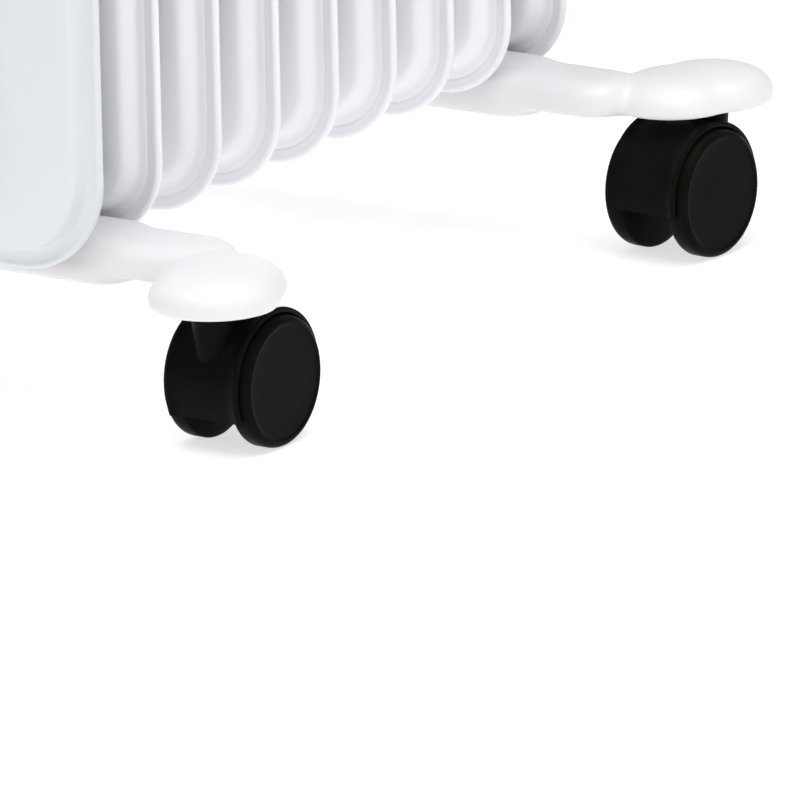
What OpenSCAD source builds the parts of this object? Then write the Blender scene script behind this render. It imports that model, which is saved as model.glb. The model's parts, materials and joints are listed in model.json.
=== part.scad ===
// Oil filled radiator heater, nine fins, on two foot bars with four twin wheel casters.
// Millimetres. +X across the fins, +Y from the control end to the rear end, +Z up, floor at Z = 0.

/* [Fins] */
// number of pressed steel fins
fin_count = 9; // [5:1:13]
// distance between two fins along Y
fin_pitch = 41; // [30:0.5:55]
// width of a fin across X
fin_w = 150; // [100:1:200]
// height of a fin
fin_h = 545; // [300:1:700]
// corner radius of a fin
fin_r = 32; // [10:1:60]
// height of the lowest edge of the fins above the floor
fin_z = 61.3; // [55:0.1:120]
// thickness of the seam flange round a fin
fin_t = 3; // [2:0.1:5]
// thickness of the oil channel that runs round a fin
channel_t = 15; // [8:0.5:24]
// width of the seam flange outside the oil channel
channel_in = 11.5; // [5:0.5:20]
// width of the oil channel
channel_w = 24.5; // [12:0.5:34]
// wall of the hollow oil channel
channel_wall = 1.5; // [1:0.1:3]

/* [Manifold] */
// outer radius of the collars that join the fins
collar_r = 24; // [16:0.5:30]
// bore radius of the collars
collar_bore_r = 17; // [8:0.5:22]
// collar axis from the nearest end of the fin
collar_in = 52; // [40:1:80]
// how far the end collars stand out of the end fins
end_boss = 8.5; // [6:0.5:9]

/* [Front cover] */
// how far the cover is wider than the fins on each side
cover_side = 3; // [0:0.5:8]
// height of the cover's lowest edge above the floor
cover_z = 58; // [55:0.5:120]
// distance of the cover's flange in front of the first fin
cover_gap = 4.7; // [3.5:0.1:30]
// corner radius of the cover
cover_r = 38; // [20:1:60]
// width of the cover's flange
cover_flange = 8.5; // [5:0.5:20]
// height of the raised centre over the flange
cover_rise = 6; // [5:0.5:15]
// sheet thickness of the cover
cover_t = 1.2; // [0.8:0.1:2]
// half width of the cable duct pressed in the cover
duct_half = 25; // [20:1:30]
// depth of the cable duct
duct_depth = 32; // [26:1:45]

/* [Control housing] */
// width of the control housing
house_w = 136; // [120:1:138]
// height of the control housing
house_h = 200; // [180:1:240]
// depth of the control housing
house_d = 60; // [50:1:90]
// corner radius of the control housing
house_r = 10; // [6:1:14]
// wall of the control housing
house_t = 2.6; // [2:0.1:4]
// knob radius
knob_r = 23; // [15:0.5:30]
// knob height
knob_h = 20; // [12:0.5:30]

/* [Feet] */
// half length of the straight foot bar
bar_half = 80; // [76:1:100]
// width of the foot bar along Y
bar_w = 40; // [30:1:60]
// underside of the foot bar
bar_z = 53; // [52.5:0.5:60]
// top of the wide saddle between two fins
saddle_z = 68; // [62:0.5:72]
// top of the narrow ridge along the middle of a foot
ridge_z = 71; // [68:0.5:72]
// distance of a caster stem from the centre plane
pad_x = 132.5; // [115:0.5:160]
// length of an arm across X
arm_w = 50; // [40:1:60]
// how far the stems sweep out past the foot bar
pad_sweep = 32; // [0:0.5:40]
// how far a pad's centre lies outside its stem
pad_out = 3; // [0:0.5:6]
// pad radius
pad_r = 26; // [20:0.5:35]
// underside of a pad
pad_z = 57; // [54:0.5:65]
// top of a pad's upright wall
pad_wall_z = 63; // [60:0.5:66]
// top of a pad
pad_top = 71.5; // [68:0.5:85]

/* [Casters] */
// wheel radius
wheel_r = 25.5; // [20:0.5:40]
// wheel thickness
wheel_t = 9.6; // [6:0.1:14]
// half width over the two wheels
wheel_half = 20; // [15:0.1:25]
// half width of the fender over the wheels
fender_half = 16.4; // [12:0.1:25]
// fender's lowest edge on the stem side and on the other side
fender_z = [14, 21]; // [8:0.5:30]
// distance from the stem axis to the axle
trail = 18; // [10:0.5:30]
// heading of the axle from the stem in degrees, front right, front left, rear right, rear left
headings = [89, 95, -94, -86];

/* [Handle] */
// height of the handle's top above the floor
handle_top = 652; // [640:1:680]

/* [Hidden] */
$fn = 96;
eps = 0.01;
run_gap = 0.05;
free_gap = 0.3;
white = [0.93, 0.94, 0.95];
plastic_white = [0.90, 0.91, 0.92];
grey = [0.45, 0.46, 0.47];
black = [0.10, 0.10, 0.10];
steel = [0.70, 0.71, 0.73];
brass = [0.78, 0.65, 0.35];
red = [0.80, 0.15, 0.10];
half_stack = (fin_count - 1) / 2;
first_y = -half_stack * fin_pitch;
foot_y = (half_stack - 0.5) * fin_pitch;
flange_y = first_y - cover_gap;
face_y = flange_y - cover_rise;
duct_y = face_y - duct_depth;
house_y = face_y - house_d;
knob_y0 = house_y - 1.2;
knob_y1 = knob_y0 - knob_h;
back_y = foot_y + pad_sweep + pad_out + pad_r;
// places the bounding box symmetrically about Y = 0
shift_y = -(knob_y1 + back_y) / 2;
fin_top = fin_z + fin_h;
low_z = fin_z + collar_in;
high_z = fin_top - collar_in;
cover_w = fin_w + 2 * cover_side;
cover_top = fin_top + cover_side;
house_z1 = cover_top - cover_flange;
house_z0 = house_z1 - house_h;
fascia_w = house_w - 24;
fascia_h = house_h - 32;
fascia_zc = (house_z0 + house_z1) / 2;
knob_z = fascia_zc + 38;
lamp_z = fascia_zc - 14;
rocker_z = fascia_zc - 50;
rocker_x = 24;
rocker_w = 17;
rocker_h = 26;
shaft_r = 3;
gland_x = 45;
gland_y = house_y + 28;
gland_r = 7;
gland_bore_r = 3.6;
screw_r = 2;
u_rod_r = 2.5;
u_bend_r = collar_r + u_rod_r + 0.2;
nut_top = fin_z;
nut_pocket_r = 13.5;
u_leg_z = nut_top - 7.4;
stem_r = 4;
stem_low = 30;
stem_top = 68;
socket_r = 5;
axle_r = 2.5;
drum_r = wheel_r + 2;
wheel_in = wheel_half - wheel_t;
// side of a caster's frame that faces away from the heater
function outer_side(k) = sin(corners[k][2]) * corners[k][0] > 0 ? 1 : -1;
corners = [[1, -1, headings[0]], [-1, -1, headings[1]], [1, 1, headings[2]], [-1, 1, headings[3]]];

// sub-part to draw, or all

// ---------- helpers ----------
// rounded rectangle with its centre at the origin
module rrect(w, h, r) {
  square([w - 2 * r, h], center = true);
  square([w, h - 2 * r], center = true);
  for (sx = [-1, 1]) {
    for (sz = [-1, 1]) {
      translate([sx * (w / 2 - r), sz * (h / 2 - r)]) circle(r);
    }
  }
}
// slab in the XZ plane from y0 to y1, its centre at height zc
module slab(w, h, r, y0, y1, zc, xc = 0) {
  translate([xc, y1, zc]) rotate([90, 0, 0]) linear_extrude(y1 - y0) rrect(w, h, r);
}
// cylinder along Y from y0 to y1
module rod_y(r, y0, y1, x, z) {
  translate([x, y1, z]) rotate([90, 0, 0]) cylinder(r = r, h = y1 - y0);
}
// block given by its two corners
module block(a, b) {
  translate(a) cube(b - a);
}
// moves a child from the stack's frame to the object's frame
module place() {
  translate([0, shift_y, 0]) children();
}

// ---------- fins ----------
// k counts from 0 at the control end
module fin(k) {
  y = first_y + k * fin_pitch;
  first = k == 0;
  last = k == fin_count - 1;
  front = first ? end_boss : fin_pitch / 2;
  back = last ? end_boss : fin_pitch / 2;
  bore_y1 = last ? y + back - 2 : y + back + 1;
  zc = fin_z + fin_h / 2;
  cav = channel_in + channel_wall;
  cav_in = channel_in + channel_w - channel_wall;
  cav_y = channel_t / 2 - channel_wall;
  color(white) place() difference() {
    union() {
      slab(fin_w, fin_h, fin_r, y - fin_t / 2, y + fin_t / 2, zc);
      difference() {
        ring_w = fin_w - 2 * channel_in;
        ring_h = fin_h - 2 * channel_in;
        slab(ring_w, ring_h, fin_r - channel_in, y - channel_t / 2, y + channel_t / 2, zc);
        inner_w = fin_w - 2 * channel_in - 2 * channel_w;
        inner_h = fin_h - 2 * channel_in - 2 * channel_w;
        slab(inner_w, inner_h, 12, y - channel_t, y + channel_t, zc);
      }
      rod_y(collar_r, y - front, y + back, 0, low_z);
      rod_y(collar_r, y - front, y + back, 0, high_z);
    }
    // hollow oil channel, open to both collars
    difference() {
      slab(fin_w - 2 * cav, fin_h - 2 * cav, fin_r - cav, y - cav_y, y + cav_y, zc);
      slab(fin_w - 2 * cav_in, fin_h - 2 * cav_in, 13.5, y - channel_t, y + channel_t, zc);
    }
    // passages from the channel to the collars
    block([-10, y - cav_y, fin_z + cav + 2], [10, y + cav_y, low_z]);
    block([-10, y - cav_y, high_z], [10, y + cav_y, fin_top - cav - 2]);
    // lower bore, blind in the last fin
    rod_y(collar_bore_r, y - front - 1, bore_y1, 0, low_z);
    // upper bore, blind in the first fin
    rod_y(collar_bore_r, first ? y - front + 2 : y - front - 1, bore_y1, 0, high_z);
    // filler hole in the last fin
    if (last) {
      rod_y(5, y, y + back + 1, 0, high_z);
    }
  }
}

module oil_filler_plug() {
  y = -first_y + end_boss;
  color(steel) place() {
    rod_y(5, y - 2, y + 0.5, 0, high_z);
    rod_y(8, y, y + 4, 0, high_z);
  }
}

// ---------- heating element ----------
flange_in = first_y - end_boss - 1.5;
module heating_element() {
  y_end = -first_y - 10;
  rod = 4;
  color(steel) place() {
    for (sz = [-1, 1]) {
      for (sx = [-1, 1]) {
        rod_y(rod, flange_in - 22, y_end, sx * 7, low_z + sz * 7);
        rod_y(1.6, flange_in - 30, flange_in - 21, sx * 7, low_z + sz * 7);
      }
      translate([0, y_end, low_z + sz * 7]) intersection() {
        rotate_extrude() translate([7, 0]) circle(rod, $fn = 48);
        block([-20, 0, -10], [20, 20, 10]);
      }
    }
  }
}
module element_flange() {
  color(brass) place() difference() {
    union() {
      // hexagon head
      translate([0, flange_in, low_z]) rotate([90, 0, 0]) cylinder(r = 23, h = 8, $fn = 6);
      rod_y(collar_bore_r - run_gap, flange_in - eps, first_y + 2, 0, low_z);
    }
    for (sx = [-1, 1]) {
      for (sz = [-1, 1]) {
        rod_y(4 + run_gap, flange_in - 20, first_y + 20, sx * 7, low_z + sz * 7);
      }
    }
  }
}
module flange_gasket() {
  color(black) place() difference() {
    rod_y(21, flange_in, first_y - end_boss, 0, low_z);
    rod_y(collar_bore_r, flange_in - 1, first_y, 0, low_z);
  }
}
module thermal_cutout() {
  y = flange_in - 8;
  color(black) place() {
    rod_y(2.2, y - 7, y, 0, low_z);
    translate([0, 0, low_z + 18]) block([-9, y - 7, -4], [9, y - 1, 4]);
  }
  color(steel) place() block([-2.5, y - 1, low_z - 2], [2.5, y, low_z + 22]);
}

// ---------- front cover ----------
module cover_body(off) {
  zc = (cover_z + cover_top) / 2;
  h = cover_top - cover_z;
  raise_w = cover_w - 2 * cover_flange - 2 * off;
  raise_h = h - 2 * cover_flange - 2 * off;
  slab(raise_w, raise_h, cover_r - 7 - off, face_y + off, flange_y + cover_t + off, zc);
  duct_z0 = cover_z + 16;
  duct_h = house_z0 - duct_z0 + 30 - 2 * off;
  duct_zc = (duct_z0 + house_z0 + 30) / 2;
  slab(2 * duct_half - 2 * off, duct_h, 10 - off, duct_y + off, face_y + 2, duct_zc);
}
module front_cover() {
  zc = (cover_z + cover_top) / 2;
  h = cover_top - cover_z;
  color(white) place() difference() {
    union() {
      slab(cover_w, h, cover_r, flange_y, flange_y + cover_t, zc);
      cover_body(0);
    }
    cover_body(cover_t);
    // opening behind the control housing
    slab(house_w - 40, house_h - 60, 8, duct_y - 5, face_y + 3, fascia_zc + 6);
    // cut the duct back to the underside of the housing
    block([-duct_half - 2, duct_y - 5, house_z0 - 0.3], [duct_half + 2, face_y - 0.001, house_z0 + 60]);
    for (s = [-1, 1]) {
      rod_y(screw_r + 0.2, face_y - 5, face_y + 5, s * 30, house_z0 + 7);
      rod_y(screw_r + 0.2, face_y - 5, face_y + 5, s * 30, house_z1 - 7);
      for (z = bracket_zs) {
        rod_y(screw_r + 0.2, face_y - 5, face_y + 5, s * bracket_x, z + 10);
      }
    }
  }
}
bracket_x = 32;
bracket_zs = [fin_z + 180, fin_z + 300];
bracket_y0 = face_y + cover_t;
bracket_y1 = first_y - fin_t / 2;
module cover_brackets() {
  color(steel) place() for (s = [-1, 1]) {
    for (z = bracket_zs) {
      translate([s * bracket_x, 0, z]) difference() {
        union() {
          block([-5, bracket_y0, 0], [5, bracket_y0 + 1.5, 21.5]);
          block([-5, bracket_y1 - 1.5, 20], [5, bracket_y1, 40]);
          block([-5, bracket_y0, 20], [5, bracket_y1, 21.5]);
        }
        rod_y(screw_r, bracket_y0 - 1, bracket_y0 + 3, 0, 10);
      }
    }
  }
}
module screw_y(x, y, z, len, dir) {
  // dir = 1 points into +Y with the head in front
  y0 = dir > 0 ? y : y - len;
  rod_y(screw_r, y0, y0 + len, x, z);
  translate([x, y, z]) rotate([90 * dir, 0, 0]) difference() {
    cylinder(r = 3.6, h = 2);
    translate([-2.6, -0.4, 1]) cube([5.2, 0.8, 2]);
    translate([-0.4, -2.6, 1]) cube([0.8, 5.2, 2]);
  }
}
module cover_screws() {
  color(steel) place() for (s = [-1, 1]) {
    for (z = bracket_zs) {
      screw_y(s * bracket_x, face_y, z + 10, 5, 1);
    }
  }
}

// ---------- control housing ----------
module control_housing() {
  zc = fascia_zc;
  color(plastic_white) place() difference() {
    union() {
      difference() {
        slab(house_w, house_h, house_r, house_y, face_y, zc);
        in_w = house_w - 2 * house_t;
        in_h = house_h - 2 * house_t;
        slab(in_w, in_h, house_r - house_t, house_y + house_t, face_y + 1, zc);
      }
      // screw bosses at the rear edge
      for (s = [-1, 1]) {
        rod_y(4.5, face_y - 16, face_y, s * 30, house_z0 + 7);
        rod_y(4.5, face_y - 16, face_y, s * 30, house_z1 - 7);
      }
    }
    slab(fascia_w, fascia_h, 12, house_y - 1, house_y + house_t + 1, zc);
    for (s = [-1, 1]) {
      rod_y(screw_r, face_y - 13, face_y + 1, s * 30, house_z0 + 7);
      rod_y(screw_r, face_y - 13, face_y + 1, s * 30, house_z1 - 7);
      translate([s * handle_sx, handle_y, house_z1 - 5]) cylinder(r = screw_r + 0.2, h = 10);
    }
    // hole for the cable gland
    translate([gland_x, gland_y, house_z0 - 1]) cylinder(r = gland_r, h = 5);
    // passage from the duct
    block([-duct_half + 4, duct_y + 4, house_z0 - 1], [duct_half - 4, face_y - 4, house_z0 + 4]);
  }
}
module housing_screws() {
  color(steel) place() for (s = [-1, 1]) {
    screw_y(s * 30, face_y + cover_t, house_z0 + 7, 12, -1);
    screw_y(s * 30, face_y + cover_t, house_z1 - 7, 12, -1);
  }
}
module control_fascia() {
  zc = fascia_zc;
  color(grey) place() difference() {
    union() {
      slab(fascia_w - 0.4, fascia_h - 0.4, 11.8, house_y - 0.2, house_y + house_t, zc);
      slab(fascia_w + 8, fascia_h + 8, 15, house_y + house_t, house_y + house_t + 2, zc);
    }
    rod_y(5 + 0.1, house_y - 2, house_y + 8, 0, knob_z);
    rod_y(4, house_y - 2, house_y + 8, 0, lamp_z);
    for (s = [-1, 1]) {
      slab(rocker_w + 3, rocker_h + 3, 2, house_y - 2, house_y + 8, rocker_z, s * rocker_x);
    }
  }
}

// ---------- thermostat ----------
body_y0 = house_y + house_t + 2;
module thermostat_knob() {
  color(grey) place() difference() {
    union() {
      rod_y(knob_r, knob_y0 - 4, knob_y0, 0, knob_z);
      rod_y(knob_r - 4, knob_y1 + 2, knob_y0 - 3, 0, knob_z);
      block([-3, knob_y1, knob_z - knob_r + 5], [3, knob_y1 + 6, knob_z + knob_r - 5]);
    }
    rod_y(shaft_r, knob_y1 + 6, knob_y0 + 1, 0, knob_z);
    block([-0.6, knob_y1 - 1, knob_z + 6], [0.6, knob_y1 + 0.8, knob_z + knob_r - 4]);
  }
}
module thermostat_shaft() {
  color(steel) place() {
    rod_y(shaft_r, knob_y1 + 6, body_y0 + 4, 0, knob_z);
    rod_y(4.4, body_y0 + 4 - eps, body_y0 + 7, 0, knob_z);
  }
}
module thermostat_body() {
  color(plastic_white) place() difference() {
    union() {
      rod_y(5, house_y + 0.4, body_y0 + 1, 0, knob_z);
      block([-17, body_y0, knob_z - 20], [17, body_y0 + 20, knob_z + 20]);
      for (s = [-1, 1]) {
        block([s * 9 - 3, body_y0 + 19, knob_z - 8], [s * 9 + 3, body_y0 + 28, knob_z - 7.2]);
      }
    }
    rod_y(shaft_r + run_gap, house_y - 2, body_y0 + 5, 0, knob_z);
    rod_y(4.7, body_y0 + 3.7, body_y0 + 7.3, 0, knob_z);
  }
}

// ---------- switches ----------
pivot_y = house_y + 5;
rock_tilt = 7;
module at_pivot(s) {
  translate([s * rocker_x, pivot_y, rocker_z]) children();
}
module rocker(s) {
  // rocks about an axis along X, drawn in its off position
  hh = rocker_h / 2;
  color(s > 0 ? red : black) place() at_pivot(s) rotate([rock_tilt, 0, 0]) difference() {
    translate([-rocker_w / 2, 0, 0]) rotate([90, 0, 90]) linear_extrude(rocker_w) polygon([
      [3, -3],
      [-3.6, -hh + 0.8],
      [-7.6, -hh + 1.2],
      [-5.6, 0],
      [-7.6, hh - 1.2],
      [-3.6, hh - 0.8],
      [3, 3]
    ]);
    translate([-rocker_w, 0, 0]) rotate([0, 90, 0]) cylinder(r = 1.25, h = 2 * rocker_w);
  }
}
module switch_body(s) {
  x = s * rocker_x;
  color(black) place() {
    difference() {
      union() {
        slab(rocker_w + 6, rocker_h + 6, 2.5, house_y - 1.7, house_y - 0.2, rocker_z, x);
        slab(rocker_w + 2.8, rocker_h + 2.8, 1.8, house_y - 0.3, house_y + 24, rocker_z, x);
      }
      slab(rocker_w + 0.7, rocker_h + 0.7, 0.6, house_y - 3, house_y + 12, rocker_z, x);
    }
    at_pivot(s) translate([-rocker_w / 2 - 0.5, 0, 0]) rotate([0, 90, 0]) cylinder(r = 1.2, h = rocker_w + 1);
    for (k = [-1, 0, 1]) {
      block([x - 3, house_y + 23.5, rocker_z + k * 8 - 0.4], [x + 3, house_y + 32, rocker_z + k * 8 + 0.4]);
    }
  }
}
module lamp_lens() {
  color(red) place() {
    rod_y(4 - 0.05, house_y - 0.3, house_y + 6, 0, lamp_z);
    rod_y(5, house_y - 1.7, house_y - 0.2, 0, lamp_z);
  }
}
module lamp_holder() {
  color(black) place() difference() {
    rod_y(5.5, body_y0, body_y0 + 16, 0, lamp_z);
    rod_y(4, body_y0 - 1, body_y0 + 6, 0, lamp_z);
  }
}
module terminal_block() {
  y = face_y - 30;
  z = house_z0 + house_t;
  color(plastic_white) place() difference() {
    block([-21, y - 22, z], [21, y - 6, z + 16]);
    for (k = [-1, 0, 1]) {
      translate([k * 13, y - 14, z + 6]) cylinder(r = 3, h = 20);
      rod_y(2.2, y - 30, y, k * 13, z + 5);
    }
  }
}
module tilt_switch() {
  x = house_w / 2 - house_t;
  color(black) place() block([x - 16, face_y - 34, house_z0 + 60], [x, face_y - 12, house_z0 + 92]);
}
module cable_gland() {
  color(black) place() translate([gland_x, gland_y, 0]) difference() {
    union() {
      translate([0, 0, house_z0 - 14]) cylinder(r1 = 6, r2 = 8, h = 12);
      translate([0, 0, house_z0 - 2.5]) cylinder(r = 9.5, h = 2.5);
      translate([0, 0, house_z0 - 0.01]) cylinder(r = gland_r - 0.05, h = house_t + 3);
      translate([0, 0, house_z0 + house_t]) cylinder(r = 9, h = 2);
    }
    translate([0, 0, house_z0 - 20]) cylinder(r = gland_bore_r, h = 40);
  }
}

// ---------- handle ----------
handle_d = 26;
handle_w = 114;
handle_leg = 14;
handle_sx = handle_w / 2 - handle_leg / 2;
handle_y = house_y + house_d / 2;
module carry_handle() {
  h = handle_top - house_z1;
  grip = 15;
  color(grey) place() difference() {
    zc = house_z1 + h / 2 - 10;
    in_w = handle_w - 2 * handle_leg;
    slab(handle_w, h + 20, 18, handle_y - handle_d / 2, handle_y + handle_d / 2, zc);
    slab(in_w, h + 20 - 2 * grip, 5, handle_y - handle_d, handle_y + handle_d, zc);
    block([-80, handle_y - handle_d, house_z1 - 60], [80, handle_y + handle_d, house_z1]);
    for (s = [-1, 1]) {
      translate([s * handle_sx, handle_y, house_z1 - 1]) cylinder(r = screw_r, h = 16);
    }
  }
}
module handle_screws() {
  color(steel) place() for (s = [-1, 1]) {
    translate([s * handle_sx, handle_y, house_z1 - house_t]) {
      cylinder(r = screw_r, h = 14);
      translate([0, 0, -2]) cylinder(r = 3.6, h = 2);
    }
  }
}

// ---------- feet ----------
// wall of rounded plan w by l, from the underside of the pads up to z
module foot_wall(w, l, r, z) {
  linear_extrude(z - pad_z) rrect(w, l, r);
}
// one step of a pad's domed top
module pad_step(z0, z1, r0, r1) {
  translate([0, 0, z0 - pad_z - eps]) cylinder(r1 = r0, r2 = r1, h = z1 - z0 + eps);
}
// d = -1 for the front foot, 1 for the rear foot
module foot_bar(d) {
  y = d * foot_y;
  stem_y = d * (foot_y + pad_sweep);
  pad_mid_z = pad_wall_z + 4;
  color(white) place() difference() {
    union() {
      translate([0, y, bar_z]) linear_extrude(fin_z - bar_z) rrect(2 * bar_half, bar_w, 14);
      saddle_w = 2 * (bar_half - 3);
      translate([0, y, bar_z]) linear_extrude(saddle_z - bar_z) rrect(saddle_w, fin_pitch - fin_t - 1, 8);
      translate([0, y, pad_z]) foot_wall(2 * bar_half + 12, 28, 10, ridge_z);
      for (s = [-1, 1]) {
        translate([s * pad_x, stem_y + d * pad_out, pad_z]) {
          cylinder(r = pad_r, h = pad_wall_z - pad_z);
          pad_step(pad_wall_z, pad_mid_z, pad_r - 0.5, pad_r - 4);
          pad_step(pad_mid_z, pad_top, pad_r - 5, pad_r - 14);
        }
        // arm that joins the bar and the pad, stepped in towards its top
        translate([s * (pad_x - 4), (y + stem_y) / 2 + d, pad_z]) {
          foot_wall(arm_w, pad_sweep + 32, 22, pad_z + 4);
          foot_wall(arm_w - 8, pad_sweep + 24, 18, pad_z + 8);
          foot_wall(arm_w - 18, pad_sweep + 14, 14, pad_z + 11);
          foot_wall(arm_w - 30, pad_sweep + 2, 8, pad_z + 13);
        }
        // neck between the bar and the arm
        translate([s * (bar_half + 12), y, pad_z]) {
          foot_wall(50, bar_w - 4, 14, pad_z + 7);
          foot_wall(50, 26, 8, pad_z + 11);
        }
      }
    }
    for (s = [-1, 1]) {
      translate([s * u_bend_r, y, bar_z - 1]) cylinder(r = u_rod_r + 0.3, h = 30);
      // pocket that hides a wing nut
      translate([s * u_bend_r, y, bar_z - 1]) cylinder(r = nut_pocket_r, h = nut_top - bar_z + 1);
      translate([s * pad_x, stem_y, pad_z - 5]) cylinder(r = socket_r, h = stem_top + 1 - pad_z + 5);
    }
  }
}
module foot_u_bolts() {
  color(steel) place() for (d = [-1, 1]) {
    translate([0, d * foot_y, low_z]) {
      rotate([90, 0, 0]) intersection() {
        rotate_extrude() translate([u_bend_r, 0]) circle(u_rod_r, $fn = 48);
        block([-40, 0, -10], [40, 40, 10]);
      }
      for (s = [-1, 1]) {
        translate([s * u_bend_r, 0, u_leg_z - low_z]) cylinder(r = u_rod_r, h = low_z - u_leg_z);
      }
    }
  }
}
module foot_wing_nuts() {
  color(steel) place() for (d = [-1, 1]) {
    for (s = [-1, 1]) {
      translate([s * u_bend_r, d * foot_y, 0]) difference() {
        union() {
          translate([0, 0, nut_top - 6]) cylinder(r = 5, h = 6);
          translate([-12, -1.2, nut_top - 7.6]) cube([24, 2.4, 6]);
        }
        translate([0, 0, nut_top - 12]) cylinder(r = u_rod_r, h = 20);
      }
    }
  }
}

// ---------- casters ----------
// moves a child from a caster's frame, stem axis at the origin and axle towards +X
module at_caster(k) {
  c = corners[k];
  place() translate([c[0] * pad_x, c[1] * (foot_y + pad_sweep), 0]) rotate([0, 0, c[2]]) children();
}
// moves a child that stands on Z = 0 to the axle, starting at half width v
module on_axle(v) {
  translate([trail, v, wheel_r]) rotate([90, 0, 0]) children();
}
module caster_stems() {
  for (k = [0:3]) {
    color(steel) at_caster(k) difference() {
      union() {
        translate([0, 0, stem_low]) cylinder(r = stem_r, h = pad_z - stem_low);
        translate([0, 0, pad_z - 0.3]) cylinder(r = socket_r - 0.05, h = stem_top - pad_z + 0.3);
      }
      translate([0, 0, 62]) difference() {
        cylinder(r = socket_r + 2, h = 2.4);
        translate([0, 0, -1]) cylinder(r = stem_r - 0.2, h = 5);
      }
    }
  }
}
module caster_grip_rings() {
  for (k = [0:3]) {
    color(steel) at_caster(k) translate([0, 0, 62.2]) difference() {
      cylinder(r = socket_r, h = 2);
      translate([0, 0, -1]) cylinder(r = stem_r, h = 5);
      translate([0, -1, -1]) cube([9, 2, 5]);
    }
  }
}
// space above the fender's lowest edges
module fender_sides() {
  block([-20, -40, fender_z[0]], [trail, 40, 60]);
  block([trail - 1, -40, fender_z[1]], [60, 40, 60]);
}
module caster_hood(k) {
  web = wheel_in - free_gap - 0.2;
  color(black) at_caster(k) difference() {
    union() {
      // web between the wheels
      intersection() {
        on_axle(web) cylinder(r = drum_r, h = 2 * web);
        fender_sides();
      }
      on_axle(web) cylinder(r = 9, h = 2 * web);
      // fender over both wheels
      intersection() {
        difference() {
          on_axle(fender_half) cylinder(r = drum_r, h = 2 * fender_half);
          on_axle(wheel_half + 1) cylinder(r = wheel_r + 0.7, h = 2 * wheel_half + 2);
        }
        fender_sides();
      }
      translate([0, 0, 34]) cylinder(r = 8.6, h = pad_z - 34.6);
    }
    translate([0, 0, stem_low - 1]) cylinder(r = stem_r + run_gap, h = 40);
    on_axle(30) cylinder(r = axle_r, h = 60);
  }
}
module axle(k) {
  color(steel) at_caster(k) on_axle(wheel_half - 1.5) cylinder(r = axle_r, h = 2 * wheel_half - 3);
}
// side 1 is towards -Y in the caster's frame
module wheel(k, side) {
  rim = 3;
  color(black) at_caster(k) translate([trail, 0, wheel_r]) rotate([90 * side, 0, 0]) difference() {
    rotate_extrude() difference() {
      translate([0, wheel_in]) union() {
        square([wheel_r - rim, wheel_t]);
        square([wheel_r, wheel_t - rim]);
        translate([wheel_r - rim, wheel_t - rim]) circle(rim, $fn = 48);
      }
      // recess on the side of the web
      translate([9, wheel_in - 1]) square([11.5, 5]);
    }
    cylinder(r = axle_r + run_gap, h = wheel_half - 1.2);
  }
}

// ---------- drawing ----------
fin(0);  // fin_1
fin(1);  // fin_2
fin(2);  // fin_3
fin(3);  // fin_4
fin(4);  // fin_5
fin(5);  // fin_6
fin(6);  // fin_7
fin(7);  // fin_8
fin(8);  // fin_9
heating_element();
element_flange();
flange_gasket();
oil_filler_plug();
front_cover();
cover_brackets();
cover_screws();
control_housing();
housing_screws();
control_fascia();
thermostat_knob();
thermostat_shaft();
thermostat_body();
rocker(-1);  // low_power_rocker
rocker(1);  // high_power_rocker
switch_body(-1);  // low_power_switch_body
switch_body(1);  // high_power_switch_body
lamp_lens();
lamp_holder();
terminal_block();
thermal_cutout();
tilt_switch();
cable_gland();
carry_handle();
handle_screws();
foot_bar(-1);  // front_foot_bar
foot_bar(1);  // rear_foot_bar
foot_u_bolts();
foot_wing_nuts();
caster_stems();
caster_grip_rings();
caster_hood(0);  // front_right_caster_hood
caster_hood(1);  // front_left_caster_hood
caster_hood(2);  // rear_right_caster_hood
caster_hood(3);  // rear_left_caster_hood
axle(0);  // front_right_axle
axle(1);  // front_left_axle
axle(2);  // rear_right_axle
axle(3);  // rear_left_axle
wheel(0, outer_side(0));  // front_right_outer_wheel
wheel(0, -outer_side(0));  // front_right_inner_wheel
wheel(1, outer_side(1));  // front_left_outer_wheel
wheel(1, -outer_side(1));  // front_left_inner_wheel
wheel(2, outer_side(2));  // rear_right_outer_wheel
wheel(2, -outer_side(2));  // rear_right_inner_wheel
wheel(3, outer_side(3));  // rear_left_outer_wheel
wheel(3, -outer_side(3));  // rear_left_inner_wheel
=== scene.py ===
"""Looks of an oil filled radiator heater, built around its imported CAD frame.

Metres, +X across the fins, +Y from the control end to the rear end, +Z up, floor at Z = 0.
"""
import json
import math

import bmesh
import bpy
from mathutils import Matrix, Vector

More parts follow.
